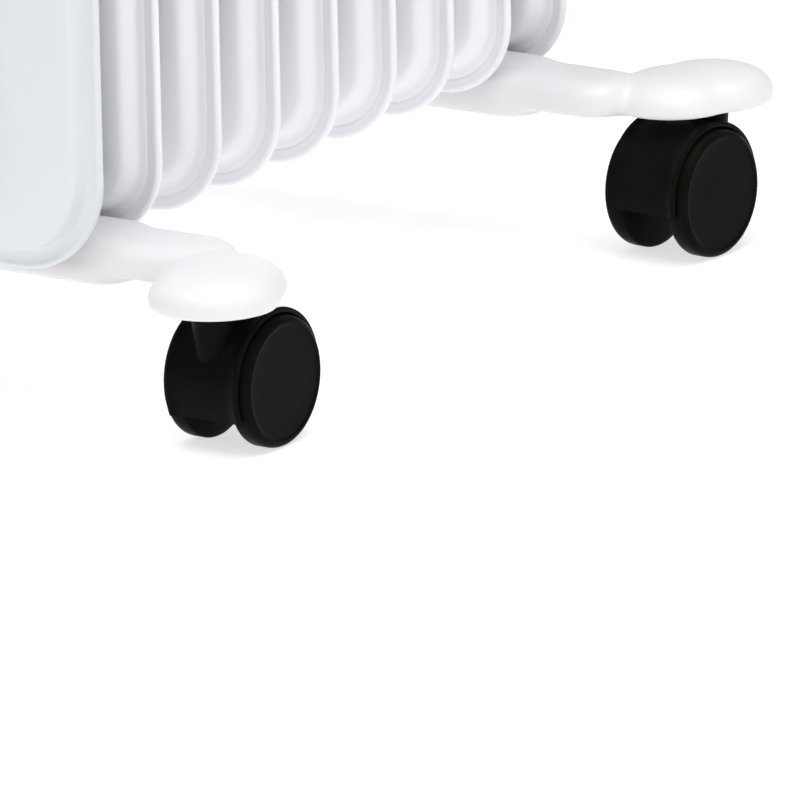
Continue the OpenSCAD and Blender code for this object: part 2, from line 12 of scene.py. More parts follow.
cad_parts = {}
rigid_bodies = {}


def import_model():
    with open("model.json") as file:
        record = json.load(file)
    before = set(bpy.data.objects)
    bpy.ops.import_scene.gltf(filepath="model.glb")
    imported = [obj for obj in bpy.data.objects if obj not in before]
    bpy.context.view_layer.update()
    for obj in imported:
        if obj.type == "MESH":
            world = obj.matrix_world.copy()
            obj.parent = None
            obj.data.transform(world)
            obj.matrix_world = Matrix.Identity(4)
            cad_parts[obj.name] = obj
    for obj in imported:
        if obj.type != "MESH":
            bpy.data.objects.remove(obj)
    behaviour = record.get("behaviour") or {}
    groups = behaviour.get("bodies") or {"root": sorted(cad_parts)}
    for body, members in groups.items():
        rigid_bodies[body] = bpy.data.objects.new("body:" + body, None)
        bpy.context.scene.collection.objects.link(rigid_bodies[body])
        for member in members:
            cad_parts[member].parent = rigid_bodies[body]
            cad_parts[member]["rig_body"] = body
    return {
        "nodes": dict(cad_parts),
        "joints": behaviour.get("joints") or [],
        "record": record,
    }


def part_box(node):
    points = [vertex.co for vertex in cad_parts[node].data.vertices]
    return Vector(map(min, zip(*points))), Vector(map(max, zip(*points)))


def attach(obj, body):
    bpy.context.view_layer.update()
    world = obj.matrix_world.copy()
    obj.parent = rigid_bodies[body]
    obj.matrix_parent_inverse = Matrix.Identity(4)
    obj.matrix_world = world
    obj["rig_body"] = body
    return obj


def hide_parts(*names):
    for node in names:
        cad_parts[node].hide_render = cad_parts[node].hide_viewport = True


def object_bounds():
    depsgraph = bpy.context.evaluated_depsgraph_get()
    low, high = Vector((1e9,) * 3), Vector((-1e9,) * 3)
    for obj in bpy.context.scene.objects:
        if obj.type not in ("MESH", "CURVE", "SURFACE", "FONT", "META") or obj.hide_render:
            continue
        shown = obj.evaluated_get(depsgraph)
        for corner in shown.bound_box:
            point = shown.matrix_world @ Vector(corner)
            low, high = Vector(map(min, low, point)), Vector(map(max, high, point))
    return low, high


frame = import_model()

CAD_LOW, CAD_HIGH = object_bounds()
MM = 0.001
NODES = frame["nodes"]
JOINTS = {joint["name"]: joint for joint in frame["joints"]}

# ---------- camera ----------
CAMERA_AZIMUTH = 33.39
CAMERA_ELEVATION = 15.5
CAMERA_ROLL = -1.285
CAMERA_DISTANCE = 6.689
CAMERA_LENS = 789.5
# offset from the middle of the second fin, at floor level
CAMERA_TARGET_OFFSET = Vector((0.1609, 0.0311, 0.0035))
SENSOR = 36.0
CLIP_START = 0.1
CLIP_END = 100

# ---------- mesh density ----------
CORNER_STEPS = 12
LATHE_STEPS = 72


# ---------- materials ----------
def new_material(name):
    """An empty node material with a Principled shader, and the coordinates its textures use."""
    material = bpy.data.materials.new(name)
    material.use_nodes = True
    nodes, links = material.node_tree.nodes, material.node_tree.links
    nodes.clear()
    output = nodes.new("ShaderNodeOutputMaterial")
    shader = nodes.new("ShaderNodeBsdfPrincipled")
    links.new(shader.outputs["BSDF"], output.inputs["Surface"])
    place = nodes.new("ShaderNodeTexCoord")
    return material, nodes, links, shader, place.outputs["Object"]


def noise(nodes, links, place, scale, detail=2.0, roughness=0.5, stretch=None):
    """A noise texture's factor, in the object's own space."""
    if stretch is not None:
        mapping = nodes.new("ShaderNodeMapping")
        mapping.inputs["Scale"].default_value = stretch
        links.new(place, mapping.inputs["Vector"])
        place = mapping.outputs["Vector"]
    texture = nodes.new("ShaderNodeTexNoise")
    texture.inputs["Scale"].default_value = scale
    texture.inputs["Detail"].default_value = detail
    texture.inputs["Roughness"].default_value = roughness
    links.new(place, texture.inputs["Vector"])
    return texture.outputs["Fac"]


def ramp(nodes, links, factor, low, high, start=0.35, end=0.65):
    """Maps a factor to a colour between low and high."""
    node = nodes.new("ShaderNodeValToRGB")
    node.color_ramp.elements[0].position = start
    node.color_ramp.elements[1].position = end
    node.color_ramp.elements[0].color = (*low, 1)
    node.color_ramp.elements[1].color = (*high, 1)
    links.new(factor, node.inputs["Fac"])
    return node.outputs["Color"]


def spread(nodes, links, factor, low, high):
    """Maps a factor to a number between low and high."""
    node = nodes.new("ShaderNodeMapRange")
    node.inputs["To Min"].default_value = low
    node.inputs["To Max"].default_value = high
    links.new(factor, node.inputs["Value"])
    return node.outputs["Result"]


def bump(nodes, links, shader, factor, height, before=None):
    """Adds a bump of that height in metres to the shader's normal."""
    node = nodes.new("ShaderNodeBump")
    node.inputs["Strength"].default_value = 1.0
    node.inputs["Distance"].default_value = height
    links.new(factor, node.inputs["Height"])
    if before is not None:
        links.new(before, node.inputs["Normal"])
    links.new(node.outputs["Normal"], shader.inputs["Normal"])
    return node.outputs["Normal"]


def gloss_paint(name, light, shade, roughness=(0.24, 0.34), peel=0.00003):
    """Baked enamel on sheet steel: faint mottling, orange peel and a clear gloss."""
    material, nodes, links, shader, place = new_material(name)
    cloud = noise(nodes, links, place, scale=9, detail=3)
    links.new(ramp(nodes, links, cloud, shade, light), shader.inputs["Base Color"])
    wipe = noise(nodes, links, place, scale=26, detail=4, roughness=0.6, stretch=(1, 1, 0.25))
    links.new(spread(nodes, links, wipe, *roughness), shader.inputs["Roughness"])
    swell = noise(nodes, links, place, scale=60, detail=1)
    waves = bump(nodes, links, shader, swell, height=peel * 4)
    pores = noise(nodes, links, place, scale=620, detail=2)
    bump(nodes, links, shader, pores, height=peel, before=waves)
    shader.inputs["Coat Weight"].default_value = 0.25
    shader.inputs["Coat Roughness"].default_value = 0.12
    return material


def moulded_plastic(name, light, shade, roughness=(0.4, 0.5), grain=0.00002, specular=0.5):
    """Injection moulded plastic: fine spark-eroded grain and slight handling marks."""
    material, nodes, links, shader, place = new_material(name)
    cloud = noise(nodes, links, place, scale=24, detail=3)
    links.new(ramp(nodes, links, cloud, shade, light), shader.inputs["Base Color"])
    rub = noise(nodes, links, place, scale=75, detail=5, roughness=0.65)
    links.new(spread(nodes, links, rub, *roughness), shader.inputs["Roughness"])
    spark = noise(nodes, links, place, scale=2600, detail=2)
    bump(nodes, links, shader, spark, height=grain)
    shader.inputs["Specular IOR Level"].default_value = specular
    return material


def bare_metal(name, light, shade, roughness=(0.2, 0.4), brushed=(1, 14, 1)):
    """Turned or drawn metal with fine lines across its length."""
    material, nodes, links, shader, place = new_material(name)
    tint = noise(nodes, links, place, scale=40, detail=4)
    links.new(ramp(nodes, links, tint, shade, light), shader.inputs["Base Color"])
    lines = noise(nodes, links, place, scale=240, detail=3, roughness=0.6, stretch=brushed)
    links.new(spread(nodes, links, lines, *roughness), shader.inputs["Roughness"])
    bump(nodes, links, shader, lines, height=0.00001)
    shader.inputs["Metallic"].default_value = 1.0
    return material


def clear_lens(name, light, shade):
    """Red moulded lens with a cut pattern that breaks up the light."""
    material, nodes, links, shader, place = new_material(name)
    cells = nodes.new("ShaderNodeTexVoronoi")
    cells.inputs["Scale"].default_value = 900
    links.new(place, cells.inputs["Vector"])
    cut = cells.outputs["Distance"]
    links.new(ramp(nodes, links, cut, light, shade, start=0.0, end=0.7), shader.inputs["Base Color"])
    bump(nodes, links, shader, cut, height=0.00012)
    shader.inputs["Roughness"].default_value = 0.12
    shader.inputs["Transmission Weight"].default_value = 0.35
    return material


# light and dark colour, then the range of roughness, the height of the grain in metres and the
# specular level where they differ from the usual ones
MATERIALS = {
    "fin_paint": gloss_paint("fin_enamel", (0.90, 0.91, 0.935), (0.875, 0.885, 0.915)),
    # the cover's enamel is a darker copy of the fins' white enamel: painted shade for the
    # front-facing cover, which gets less light
    "cover_paint": gloss_paint("cover_enamel_painted_shade", (0.76, 0.785, 0.815), (0.735, 0.76, 0.795),
                               (0.3, 0.42)),
    "foot_white": moulded_plastic("foot_plastic", (0.845, 0.836, 0.855), (0.82, 0.81, 0.83),
                                  (0.32, 0.42), 0.00001),
    "housing_white": moulded_plastic("housing_plastic", (0.82, 0.83, 0.84), (0.79, 0.80, 0.81),
                                     (0.34, 0.46), 0.000018),
    "fascia_grey": moulded_plastic("fascia_plastic", (0.20, 0.205, 0.21), (0.17, 0.175, 0.18),
                                   (0.45, 0.55), 0.00003),
    "knob_grey": moulded_plastic("knob_plastic", (0.30, 0.305, 0.31), (0.26, 0.265, 0.27),
                                 (0.35, 0.45), 0.00002),
    "handle_grey": moulded_plastic("handle_plastic", (0.22, 0.225, 0.23), (0.19, 0.195, 0.20),
                                   (0.42, 0.55), 0.00003),
    "rocker_black": moulded_plastic("rocker_plastic", (0.03, 0.03, 0.03), (0.022, 0.022, 0.022),
                                    (0.25, 0.35), 0.000008),
    "switch_black": moulded_plastic("switch_plastic", (0.035, 0.035, 0.035),
                                    (0.025, 0.025, 0.025), (0.4, 0.5), 0.00002),
    "gland_black": moulded_plastic("gland_rubber", (0.03, 0.03, 0.03), (0.02, 0.02, 0.02),
                                   (0.6, 0.75), 0.00002),
    "lens_red": clear_lens("lamp_red", (0.75, 0.04, 0.02), (0.35, 0.01, 0.01)),
    "inner_plastic": moulded_plastic("inner_plastic", (0.60, 0.58, 0.53), (0.55, 0.53, 0.48),
                                     (0.45, 0.6), 0.00002),
    "element_steel": bare_metal("element_steel", (0.45, 0.42, 0.39), (0.33, 0.31, 0.29),
                                (0.35, 0.55)),
    "bright_steel": bare_metal("zinc_steel", (0.72, 0.73, 0.75), (0.60, 0.61, 0.63)),
    "brass_fitting": bare_metal("brass", (0.78, 0.58, 0.27), (0.66, 0.47, 0.2)),
    "gasket_rubber": moulded_plastic("gasket_rubber", (0.05, 0.045, 0.04), (0.03, 0.03, 0.03),
                                     (0.7, 0.85), 0.00003),
    "caster_black": moulded_plastic("caster_nylon", (0.0062, 0.0052, 0.0040),
                                    (0.0050, 0.0043, 0.0032), (0.34, 0.44), 0.000015, 0.03),
    "wheel_black": moulded_plastic("wheel_nylon", (0.0066, 0.0058, 0.0044),
                                   (0.0054, 0.0047, 0.0036), (0.3, 0.4), 0.000012, 0.02),
}


# ---------- mesh building ----------
def rounded_rect(width, height, radius, steps=CORNER_STEPS):
    """Outline of a rounded rectangle round its centre, as pairs, anticlockwise."""
    points = []
    for corner, (side_x, side_z) in enumerate(((1, 1), (-1, 1), (-1, -1), (1, -1))):
        centre_x = side_x * (width / 2 - radius)
        centre_z = side_z * (height / 2 - radius)
        for step in range(steps + 1):
            angle = math.radians(90 * (corner + step / steps))
            points.append((centre_x + radius * math.cos(angle),
                           centre_z + radius * math.sin(angle)))
    return points


class Shell:
    """Collects lofted and turned surfaces and makes one piece of them."""

    def __init__(self):
        self.mesh = bmesh.new()

    def loft(self, rings, cap_first=True, cap_last=True, closed=False):
        """Joins rings of equally many points with quads, and closes the ends."""
        made = [[self.mesh.verts.new(point) for point in ring] for ring in rings]
        if closed:
            cap_first = cap_last = False
            made.append(made[0])
        for near, far in zip(made, made[1:]):
            for index in range(len(near)):
                after = (index + 1) % len(near)
                self.mesh.faces.new((near[index], near[after], far[after], far[index]))
        if cap_first:
            self.mesh.faces.new(made[0])
        if cap_last:
            self.mesh.faces.new(made[-1])

    def turn(self, profile, matrix, closed=False):
        """Turns (radius, height) pairs about the local Z axis of matrix."""
        rings = []
        for radius, height in profile:
            ring = []
            for step in range(LATHE_STEPS):
                angle = 2 * math.pi * step / LATHE_STEPS
                local = Vector((radius * math.cos(angle), radius * math.sin(angle), height))
                ring.append(matrix @ local)
            rings.append(ring)
        self.loft(rings, closed=closed)

    def make(self, name, smooth_angle=35):
        """The finished mesh object, with its faces turned outwards and smooth shading."""
        bmesh.ops.recalc_face_normals(self.mesh, faces=self.mesh.faces)
        data = bpy.data.meshes.new(name)
        self.mesh.to_mesh(data)
        self.mesh.free()
        piece = bpy.data.objects.new(name, data)
        bpy.context.scene.collection.objects.link(piece)
        shade(piece, smooth_angle)
        return piece


def shade(piece, angle):
    """Smooth shading that keeps edges sharper than angle, in degrees."""
    for polygon in piece.data.polygons:
        polygon.use_smooth = True
    piece.data.set_sharp_from_angle(angle=math.radians(angle))


def finish_piece(piece, body, slot, *nodes):
    """Gives a new piece its material and its body, and hides the CAD nodes that it stands for."""
    piece.data.materials.clear()
    piece.data.materials.append(MATERIALS[slot])
    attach(piece, body)
    if nodes:
        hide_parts(*nodes)
    return piece


def body_of(node):
    """Name of the body that holds a CAD node."""
    return NODES[node]["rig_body"]


def slot_of(node):
    """The record's material slot of a CAD node."""
    subparts = frame["record"]["subparts"]
    return next(part["material_slot"] for part in subparts if part["node"] == node)


WELD_DISTANCE = 0.02 * MM
FLAT_ANGLE = math.radians(1)
EDGE_ANGLE = math.radians(40)


def soften(node, width, segments=3):
    """Rounds the edges of a CAD node by modifiers, and leaves its mesh alone."""
    piece = NODES[node]
    weld = piece.modifiers.new("weld", "WELD")
    weld.merge_threshold = WELD_DISTANCE
    flat = piece.modifiers.new("flat", "DECIMATE")
    flat.decimate_type = "DISSOLVE"
    flat.angle_limit = FLAT_ANGLE
    bevel = piece.modifiers.new("bevel", "BEVEL")
    bevel.width = width
    bevel.segments = segments
    bevel.limit_method = "ANGLE"
    bevel.angle_limit = EDGE_ANGLE


# ---------- places from the frame ----------
def centre_y(node):
    """Middle of a CAD node's box along Y."""
    low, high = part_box(node)
    return (low.y + high.y) / 2


FIN_COUNT = sum(1 for name in NODES if name.startswith("fin_"))
FIN_PITCH = centre_y("fin_3") - centre_y("fin_2")
FIN_LOW, FIN_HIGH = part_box("fin_2")
FIN_WIDTH = FIN_HIGH.x - FIN_LOW.x
FIN_HEIGHT = FIN_HIGH.z - FIN_LOW.z
FIN_MID_Z = (FIN_HIGH.z + FIN_LOW.z) / 2
FIN_RADIUS = 32 * MM
COLLAR_IN = 52 * MM
LOW_COLLAR_Z = FIN_LOW.z + COLLAR_IN
HIGH_COLLAR_Z = FIN_HIGH.z - COLLAR_IN


def fin_y(number):
    """Middle plane of a fin, counted from 1 at the control end."""
    return centre_y("fin_2") + (number - 2) * FIN_PITCH


# ---------- fins ----------
# distance from the fin's edge and half thickness there, in mm, from the rim to the web
FIN_SECTION = (
    (0.0, 0.5), (0.25, 1.15), (0.8, 1.7), (1.6, 1.9), (2.3, 1.75), (2.9, 1.45), (4.4, 1.4),
    (5.0, 1.3), (5.4, 0.95), (5.9, 1.25), (6.6, 1.5), (8.2, 1.55), (9.0, 1.9), (9.9, 3.0),
    (11.2, 4.9), (12.3, 6.2), (13.4, 7.0), (14.8, 7.45), (17.0, 7.5), (19.6, 7.4), (21.6, 7.0),
    (24.0, 6.1), (27.0, 4.8), (30.0, 3.5), (33.0, 2.4), (35.5, 1.8), (38.0, 1.55),
)
FIN_CENTRE = ((46.0, 1.5), (49.0, 1.8), (52.0, 2.6), (55.0, 3.0), (58.0, 3.0))
SMALLEST_FIN_RADIUS = 4 * MM
# radius and distance from the fin's middle plane of a pressed collar, in mm
COLLAR_FLARE = (
    (35, 1.0), (32.5, 2.2), (30, 3.2), (28, 4.6), (26.2, 6.6), (25, 9.0), (24.2, 11.5),
)
# radius and distance from the collar's end of the weld bead and of a plain end, in mm
COLLAR_BEAD = ((24, -2.4), (24.9, -1.6), (25.4, -0.2), (24.6, 0.2))
COLLAR_END = ((24, -1.2), (23.4, -0.3), (22.6, 0.0), (17, 0.0))


def fin_ring(distance, y):
    """Outline of a fin at that distance inside its edge, in the plane y."""
    inner_radius = max(FIN_RADIUS - distance, SMALLEST_FIN_RADIUS)
    outline = rounded_rect(FIN_WIDTH - 2 * distance, FIN_HEIGHT - 2 * distance, inner_radius)
    return [(x, y, FIN_MID_Z + z) for x, z in outline]


def collar(shell, y, side, z, reach, bead):
    """One half of a pressed collar, from the web to the weld seam or to its end."""
    profile = [(radius * MM, height * MM) for radius, height in COLLAR_FLARE
               if height * MM < reach - MM]
    end = COLLAR_BEAD if bead else COLLAR_END
    profile += [(radius * MM, reach + height * MM) for radius, height in end]
    turn_to_y = Matrix.Rotation(math.radians(-90 * side), 4, "X")
    shell.turn(profile, Matrix.Translation((0, y, z)) @ turn_to_y)


def build_fin(number):
    """A pressed and seam-welded fin with its oil channel and collars."""
    name = f"fin_{number}"
    low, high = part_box(name)
    y = fin_y(number)
    shell = Shell()
    section = FIN_SECTION + FIN_CENTRE
    front = [fin_ring(d * MM, y - h * MM) for d, h in reversed(section)]
    back = [fin_ring(d * MM, y + h * MM) for d, h in section]
    shell.loft(front + back)
    for side, reach in ((-1, y - low.y), (1, high.y - y)):
        joined = abs(reach - FIN_PITCH / 2) < MM
        for z in (LOW_COLLAR_Z, HIGH_COLLAR_Z):
            clamped = z == LOW_COLLAR_Z and number in (1, 2, FIN_COUNT - 1, FIN_COUNT)
            bead = joined and not clamped
            collar(shell, y, side, z, reach, bead)
    piece = shell.make(f"pressed_fin_{number}")
    finish_piece(piece, body_of(name), "fin_paint", name)


for fin_number in range(1, FIN_COUNT + 1):
    build_fin(fin_number)


# ---------- front cover ----------
COVER_LOW, COVER_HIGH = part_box("front_cover")
HOUSE_LOW, HOUSE_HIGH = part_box("control_housing")
COVER_SHEET = 1.2 * MM
COVER_RISE = 6 * MM
COVER_RADIUS = 38
FLANGE_Y = COVER_HIGH.y - COVER_SHEET
# inset at the sides, inset at top and bottom and height over the flange, in mm
COVER_SECTION = (
    (0.6, 0.6, -2.6), (0.1, 0.1, -2.1), (0.0, 0.0, -1.2), (0.2, 0.2, -0.4), (0.7, 0.7, 0.2),
    (1.4, 1.4, 0.4), (2.1, 2.1, 0.25), (2.8, 2.8, 0.0), (4.6, 5.0, -0.05), (6.2, 7.4, 0.0),
    (6.8, 8.1, 0.25), (7.3, 8.35, 1.0), (7.8, 8.45, 2.6), (8.3, 8.55, 4.2), (8.9, 8.8, 5.2),
    (9.8, 9.2, 5.75), (11.2, 9.9, 5.97), (13.5, 11.5, 6.0),
)
DUCT_HALF = 25
DUCT_RADIUS = 10
DUCT_LOW_Z = COVER_LOW.z + 16 * MM
DUCT_TOP_Z = HOUSE_LOW.z - 0.3 * MM
# inset from the duct's outline in mm, and share of its depth
DUCT_SECTION = (
    (-3.5, 0.0), (-1.6, 0.02), (-0.5, 0.06), (0.0, 0.13), (0.0, 0.8), (0.5, 0.89), (1.8, 0.96),
    (4.0, 0.995), (6.0, 1.0),
)


def cover_ring(inset_x, inset_z, height):
    """Outline of the cover at that inset and height over its flange, in mm."""
    width = (COVER_HIGH.x - COVER_LOW.x) / MM - 2 * inset_x
    tall = (COVER_HIGH.z - COVER_LOW.z) / MM - 2 * inset_z
    radius = COVER_RADIUS - (inset_x + inset_z) / 2
    middle = (COVER_HIGH.z + COVER_LOW.z) / 2
    outline = rounded_rect(width * MM, tall * MM, radius * MM)
    return [(x, FLANGE_Y - height * MM, middle + z) for x, z in outline]


def duct_ring(inset, share):
    """Outline of the cable duct, flattened at the top where the housing covers it."""
    top, bottom = DUCT_TOP_Z, DUCT_LOW_Z
    y = FLANGE_Y - COVER_RISE + share * (COVER_LOW.y - FLANGE_Y + COVER_RISE)
    width = 2 * (DUCT_HALF - inset) * MM
    outline = rounded_rect(width, top - bottom - 2 * inset * MM, (DUCT_RADIUS - inset) * MM)
    return [(x, y, min((top + bottom) / 2 + z, top)) for x, z in outline]


def build_cover():
    """The pressed sheet cover with its rolled edge and the cable duct."""
    shell = Shell()
    rings = [cover_ring(*row) for row in COVER_SECTION]
    rings += [duct_ring(*row) for row in DUCT_SECTION]
    shell.loft(rings, cap_first=False)
    piece = shell.make("pressed_cover", smooth_angle=50)
    sheet = piece.modifiers.new("sheet", "SOLIDIFY")
    sheet.thickness = COVER_SHEET
    sheet.offset = -1
    finish_piece(piece, body_of("front_cover"), "cover_paint", "front_cover")


# ---------- control housing ----------
HOUSE_RADIUS = 10
HOUSE_WALL = 2.6
SMALLEST_HOUSE_RADIUS = 3
FASCIA_FRONT_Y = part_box("control_fascia")[0].y
# inset from the housing's outline and distance behind its front, in mm, over its front edge
HOUSE_EDGE = ((0.0, 6.0), (0.35, 4.2), (1.0, 2.4), (2.2, 1.0), (3.8, 0.25), (5.5, 0.0))
# the opening's margins at both sides together, at both ends together, and its corner radius, in mm
OPENING_SIDES = 24
OPENING_ENDS = 32
OPENING_RADIUS = 12
# how far the opening's edge is widened and its distance behind the housing's front, in mm
OPENING_EDGE = ((1.0, 0.0), (0.3, 0.3), (0.0, 1.0), (0.0, HOUSE_WALL))


def house_ring(inset, behind):
    """Outline of the housing at that inset and distance behind its front, in mm."""
    width = HOUSE_HIGH.x - HOUSE_LOW.x - 2 * inset * MM
    tall = HOUSE_HIGH.z - HOUSE_LOW.z - 2 * inset * MM
    outline = rounded_rect(width, tall, max(HOUSE_RADIUS - inset, SMALLEST_HOUSE_RADIUS) * MM)
    middle = (HOUSE_HIGH.z + HOUSE_LOW.z) / 2
    return [(x, HOUSE_LOW.y + behind * MM, middle + z) for x, z in outline]


def opening_ring(grow, behind):
    """Edge of the opening that the fascia fills."""
    width = HOUSE_HIGH.x - HOUSE_LOW.x - (OPENING_SIDES - 2 * grow) * MM
    tall = HOUSE_HIGH.z - HOUSE_LOW.z - (OPENING_ENDS - 2 * grow) * MM
    outline = rounded_rect(width, tall, (OPENING_RADIUS + grow) * MM)
    middle = (HOUSE_HIGH.z + HOUSE_LOW.z) / 2
    return [(x, HOUSE_LOW.y + behind * MM, middle + z) for x, z in outline]


def build_housing():
    """A thin walled housing, open behind and with the opening for the fascia in front."""
    depth = (HOUSE_HIGH.y - HOUSE_LOW.y) / MM
    outside = [house_ring(0.0, depth)] + [house_ring(*row) for row in HOUSE_EDGE]
    mouth = [opening_ring(*row) for row in OPENING_EDGE]
    inside = [house_ring(HOUSE_WALL, HOUSE_WALL), house_ring(HOUSE_WALL, depth)]
    shell = Shell()
    shell.loft(outside + mouth + inside, closed=True)
    piece = shell.make("moulded_housing", smooth_angle=40)
    finish_piece(piece, body_of("control_housing"), "housing_white", "control_housing")


# ---------- handle ----------
HANDLE_LOW, HANDLE_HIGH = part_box("carry_handle")
HANDLE_LEG = 14 * MM
HANDLE_GRIP = 15 * MM
HANDLE_BEND = 11.5 * MM
HANDLE_FOOT = 1 * MM
SECTION_STEPS = 28
# exponent of the section's outline on the legs, and how much larger it is on the grip
LEG_POWER = 0.42
GRIP_POWER = 0.22


def handle_path():
    """Points of the handle's middle line with the direction across it, from foot to foot."""
    leg_x = HANDLE_HIGH.x - HANDLE_LEG / 2
    top_z = HANDLE_HIGH.z - HANDLE_GRIP / 2
    bend_x, bend_z = leg_x - HANDLE_BEND, top_z - HANDLE_BEND
    half = [((leg_x, z), (1, 0)) for z in (HANDLE_LOW.z, HANDLE_LOW.z + HANDLE_FOOT, bend_z)]
    for step in range(1, CORNER_STEPS + 1):
        angle = math.radians(90 * step / CORNER_STEPS)
        u, w = math.cos(angle), math.sin(angle)
        half.append(((bend_x + HANDLE_BEND * u, bend_z + HANDLE_BEND * w), (u, w)))
    for share in (0.75, 0.5, 0.25):
        half.append(((bend_x * share, top_z), (0, 1)))
    mirrored = [((-x, z), (-u, w)) for (x, z), (u, w) in reversed(half)]
    return half + [((0, top_z), (0, 1))] + mirrored


def build_handle():
    """A moulded handle with an oval section that is rounder on the grip."""
    middle_y = (HANDLE_LOW.y + HANDLE_HIGH.y) / 2
    half_y = (HANDLE_HIGH.y - HANDLE_LOW.y) / 2
    rings = []
    for (x, z), (u, w) in handle_path():
        half_n = (HANDLE_LEG * abs(u) + HANDLE_GRIP * abs(w)) / 2 / (abs(u) + abs(w))
        power = LEG_POWER + GRIP_POWER * abs(w)
        ring = []
        for step in range(SECTION_STEPS):
            angle = 2 * math.pi * step / SECTION_STEPS
            across, along = math.cos(angle), math.sin(angle)
            n = half_n * math.copysign(abs(across) ** power, across)
            y = half_y * math.copysign(abs(along) ** power, along)
            ring.append((x + n * u, middle_y + y, z + n * w))
        rings.append(ring)
    shell = Shell()
    shell.loft(rings)
    piece = shell.make("moulded_handle", smooth_angle=50)
    finish_piece(piece, body_of("carry_handle"), "handle_grey", "carry_handle")


# ---------- thermostat knob and fascia marks ----------
KNOB_LOW, KNOB_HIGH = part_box("thermostat_knob")
KNOB_RADIUS = (KNOB_HIGH.x - KNOB_LOW.x) / 2 / MM
KNOB_HEIGHT = (KNOB_HIGH.y - KNOB_LOW.y) / MM
KNOB_MIDDLE_Z = (KNOB_LOW.z + KNOB_HIGH.z) / 2
KNOB_RIBS = 30
STEPS_PER_RIB = 6
# inset from the knob's radius, height over its rear face and depth of the ribs, in mm
KNOB_SKIRT = (
    (1.0, 0.0, 0.0), (0.3, 0.3, 0.0), (0.0, 1.0, 0.0), (0.0, 2.6, 0.0), (0.5, 3.6, 0.0),
    (1.6, 4.1, 0.0), (3.2, 4.4, 0.0), (3.8, 5.0, 0.0), (4.0, 6.0, 0.5),
)
# inset from the knob's radius, depth under its top and depth of the ribs, in mm
KNOB_TOP = (
    (4.2, 4.2, 0.5), (4.7, 3.1, 0.25), (5.6, 2.4, 0.0), (7.5, 2.05, 0.0),
    (KNOB_RADIUS - 6.0, 1.9, 0.0),
)
# width, both gaps to the knob's edge together and corner radius of the grip bar, in mm
GRIP_BAR_WIDTH = 6
GRIP_BAR_GAP = 11
GRIP_BAR_RADIUS = 2.4
# how far the bar is widened and depth under the knob's top, in mm
GRIP_BAR_SECTION = ((0.6, 3.0), (0.3, 1.2), (0.0, 0.5), (-0.6, 0.0))
POINTER_WIDTH = 1.2 * MM
POINTER_LENGTH = 13 * MM
POINTER_RADIUS = 0.55 * MM
POINTER_IN = 12.5 * MM
POINTER_DEPTH = 0.4
# dashes of the dial, and the angle that they span in degrees
TICKS = 11
TICK_SWEEP = 300
TICK_GAP = 5.2 * MM
TICK_WIDTH = 1.0 * MM
LONG_TICK = 4.2 * MM
SHORT_TICK = 2.6 * MM
LONG_TICK_EVERY = 5
# dashes over a rocker
ROCKER_MARK_PITCH = 3 * MM
ROCKER_MARK_OVER = 9 * MM
ROCKER_MARK_WIDTH = 1.1 * MM
ROCKER_MARK_TALL = 5 * MM
MARK_STEPS = 5
# how deep a dash starts in the fascia and how far it stands out of it, in mm
MARK_SINK = 0.3
MARK_RISE = 0.12


def knob_matrix():
    """Local Z points out of the fascia, from the knob's rear face."""
    stand = Matrix.Rotation(math.radians(90), 4, "X")
    return Matrix.Translation((0, KNOB_HIGH.y, KNOB_MIDDLE_Z)) @ stand


def knob_ring(matrix, radius, height, rib):
    """A ring round the knob's axis with ribs of that depth."""
    ring = []
    steps = KNOB_RIBS * STEPS_PER_RIB
    for step in range(steps):
        angle = 2 * math.pi * step / steps
        reach = (radius - rib * (0.5 + 0.5 * math.cos(KNOB_RIBS * angle))) * MM
        ring.append(matrix @ Vector((reach * math.cos(angle), reach * math.sin(angle), height * MM)))
    return ring


def build_knob():
    """The ribbed knob with its skirt and grip bar, and the pointer line on the bar."""
    matrix = knob_matrix()
    rings = [knob_ring(matrix, KNOB_RADIUS - inset, height, rib) for inset, height, rib in KNOB_SKIRT]
    rings += [knob_ring(matrix, KNOB_RADIUS - inset, KNOB_HEIGHT - depth, rib)
              for inset, depth, rib in KNOB_TOP]
    shell = Shell()
    shell.loft(rings)
    bar = []
    for grow, depth in GRIP_BAR_SECTION:
        width = GRIP_BAR_WIDTH + 2 * grow
        length = 2 * KNOB_RADIUS - GRIP_BAR_GAP + 2 * grow
        outline = rounded_rect(width * MM, length * MM, (GRIP_BAR_RADIUS + grow) * MM)
        bar.append([matrix @ Vector((x, z, (KNOB_HEIGHT - depth) * MM)) for x, z in outline])
    shell.loft(bar)
    piece = shell.make("ribbed_knob", smooth_angle=40)
    finish_piece(piece, body_of("thermostat_knob"), "knob_grey", "thermostat_knob")
    line = Shell()
    outline = rounded_rect(POINTER_WIDTH, POINTER_LENGTH, POINTER_RADIUS, MARK_STEPS)
    middle = KNOB_RADIUS * MM - POINTER_IN
    line.loft([[matrix @ Vector((x, middle + z, (KNOB_HEIGHT - depth) * MM)) for x, z in outline]
               for depth in (POINTER_DEPTH, 0.0)])
    pointer = line.make("knob_pointer")
    finish_piece(pointer, body_of("thermostat_knob"), "housing_white")


def mark(shell, x, z, width, tall, turn=0.0):
    """A printed and slightly raised dash on the fascia, turned in its plane by degrees."""
    spin = Matrix.Rotation(math.radians(turn), 2)
    flat = rounded_rect(width, tall, min(width, tall) / 2.1, MARK_STEPS)
    outline = [spin @ Vector(point) for point in flat]
    shell.loft([[(x + u, FASCIA_FRONT_Y + depth * MM, z + v) for u, v in outline]
                for depth in (MARK_SINK, -MARK_RISE)])


